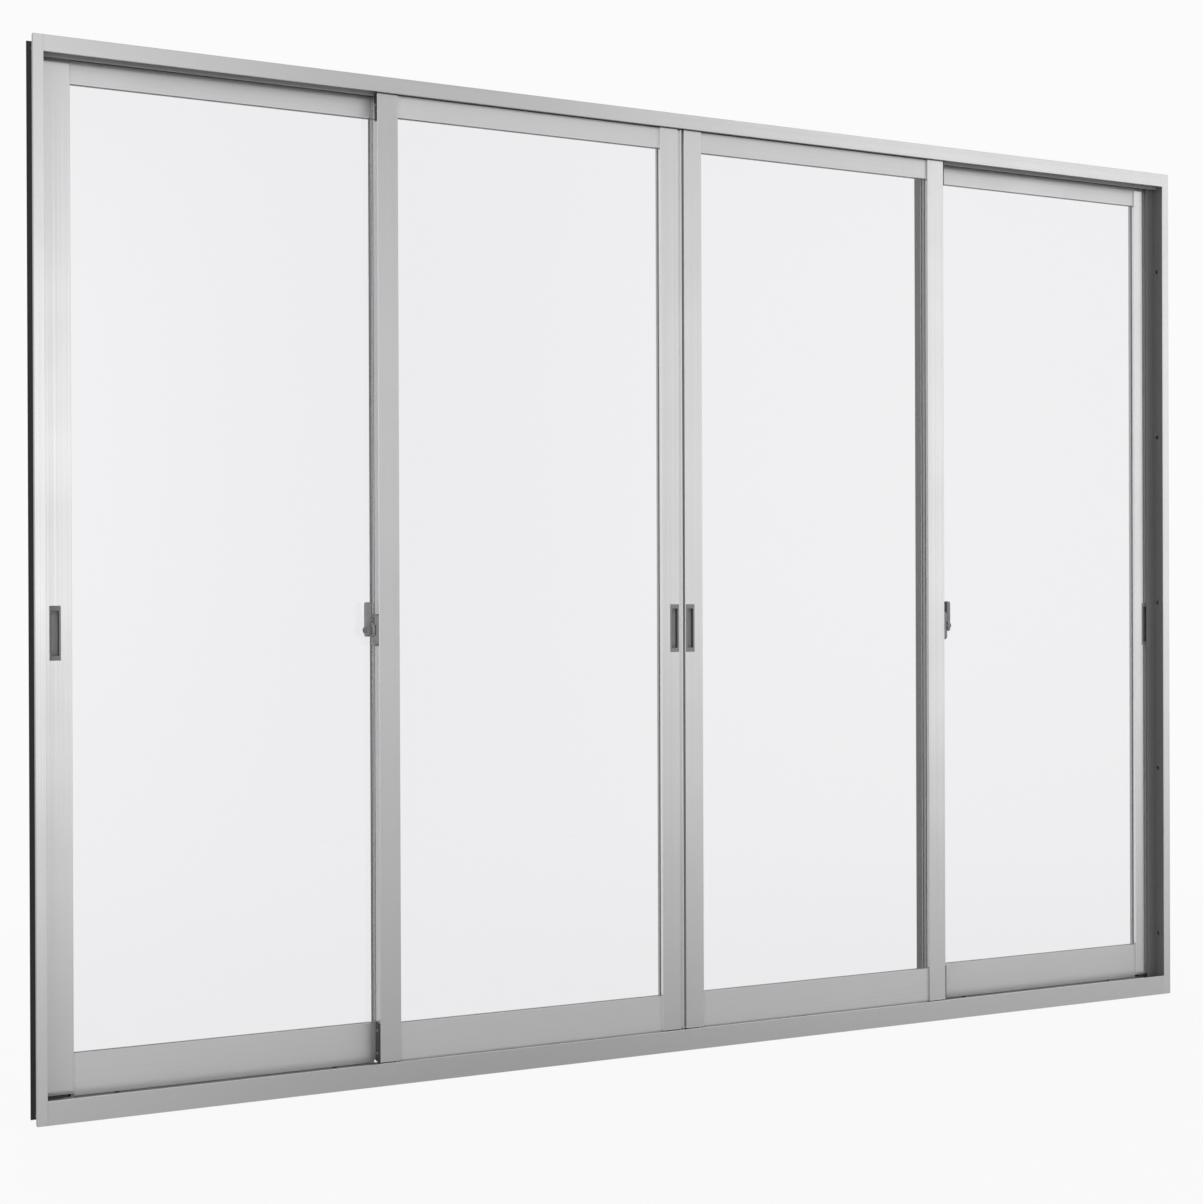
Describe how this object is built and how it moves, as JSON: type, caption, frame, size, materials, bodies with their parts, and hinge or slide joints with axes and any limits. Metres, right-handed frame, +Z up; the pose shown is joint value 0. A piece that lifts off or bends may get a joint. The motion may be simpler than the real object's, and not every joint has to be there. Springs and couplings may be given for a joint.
{
  "type": "glass sliding patio door",
  "caption": "Wide aluminium patio door in a slim dark frame, its glazed leaves sliding past each other on two tracks, with flush finger pulls and crescent locks.",
  "frame": {"origin": "On the underside of the sill, midway across the opening and midway through the frame's depth.", "axes": "+X runs to the right across the opening as seen from indoors, +Y points outdoors and +Z points up."},
  "size_m": [3, 0.075, 2.2],
  "materials": {
    "satin_aluminium": "satin",
    "dark_frame": "satin",
    "clear_glass": "clear",
    "glazing_rubber": "matte",
    "pull_grey": "satin",
    "lock_metal": "satin",
    "roller_plastic": "matte",
    "cap_plastic": "matte"
  },
  "bodies": {
    "frame": {"head_track": "dark_frame", "sill_track": "dark_frame", "left_jamb": "dark_frame", "right_jamb": "dark_frame", "head_trim": "satin_aluminium", "sill_trim": "satin_aluminium", "left_trim": "satin_aluminium", "right_trim": "satin_aluminium"},
    "leaf_1": {"leaf_1_left_stile": "satin_aluminium", "leaf_1_right_stile": "satin_aluminium", "leaf_1_top_rail": "satin_aluminium", "leaf_1_bottom_rail": "satin_aluminium", "leaf_1_glass": "clear_glass", "leaf_1_glazing_seal": "glazing_rubber", "leaf_1_flush_pulls": "pull_grey", "leaf_1_rollers": "roller_plastic", "leaf_1_guide_blocks": "roller_plastic", "leaf_1_keeper": "lock_metal"},
    "leaf_2": {"leaf_2_left_stile": "satin_aluminium", "leaf_2_right_stile": "satin_aluminium", "leaf_2_top_rail": "satin_aluminium", "leaf_2_bottom_rail": "satin_aluminium", "leaf_2_glass": "clear_glass", "leaf_2_glazing_seal": "glazing_rubber", "leaf_2_flush_pulls": "pull_grey", "leaf_2_rollers": "roller_plastic", "leaf_2_guide_blocks": "roller_plastic", "leaf_2_crescent_base": "lock_metal", "leaf_2_edge_caps": "cap_plastic"},
    "leaf_3": {"leaf_3_left_stile": "satin_aluminium", "leaf_3_right_stile": "satin_aluminium", "leaf_3_top_rail": "satin_aluminium", "leaf_3_bottom_rail": "satin_aluminium", "leaf_3_glass": "clear_glass", "leaf_3_glazing_seal": "glazing_rubber", "leaf_3_flush_pulls": "pull_grey", "leaf_3_rollers": "roller_plastic", "leaf_3_guide_blocks": "roller_plastic", "leaf_3_crescent_base": "lock_metal", "leaf_3_edge_caps": "cap_plastic"},
    "leaf_4": {"leaf_4_left_stile": "satin_aluminium", "leaf_4_right_stile": "satin_aluminium", "leaf_4_top_rail": "satin_aluminium", "leaf_4_bottom_rail": "satin_aluminium", "leaf_4_glass": "clear_glass", "leaf_4_glazing_seal": "glazing_rubber", "leaf_4_flush_pulls": "pull_grey", "leaf_4_rollers": "roller_plastic", "leaf_4_guide_blocks": "roller_plastic", "leaf_4_keeper": "lock_metal"},
    "leaf_2_lever": {"leaf_2_crescent_lever": "lock_metal"},
    "leaf_3_lever": {"leaf_3_crescent_lever": "lock_metal"}
  },
  "joints": [
    {"name": "leaf_1_slide", "type": "slide", "parent": "frame", "child": "leaf_1", "axis": [1, 0, 0], "range_m": [0, 0.706]},
    {"name": "leaf_2_slide", "type": "slide", "parent": "frame", "child": "leaf_2", "axis": [-1, 0, 0], "range_m": [0, 0.676]},
    {"name": "leaf_3_slide", "type": "slide", "parent": "frame", "child": "leaf_3", "axis": [1, 0, 0], "range_m": [0, 0.655]},
    {"name": "leaf_4_slide", "type": "slide", "parent": "frame", "child": "leaf_4", "axis": [-1, 0, 0], "range_m": [0, 0.706]},
    {"name": "leaf_2_lock_turn", "type": "hinge", "parent": "leaf_2", "child": "leaf_2_lever", "pos_m": [-0.7785, -0.0112, 0.994], "axis": [-1, 0, 0], "range_deg": [-180, 0]},
    {"name": "leaf_3_lock_turn", "type": "hinge", "parent": "leaf_3", "child": "leaf_3_lever", "pos_m": [0.7785, -0.0112, 0.994], "axis": [-1, 0, 0], "range_deg": [-180, 0]}
  ]
}
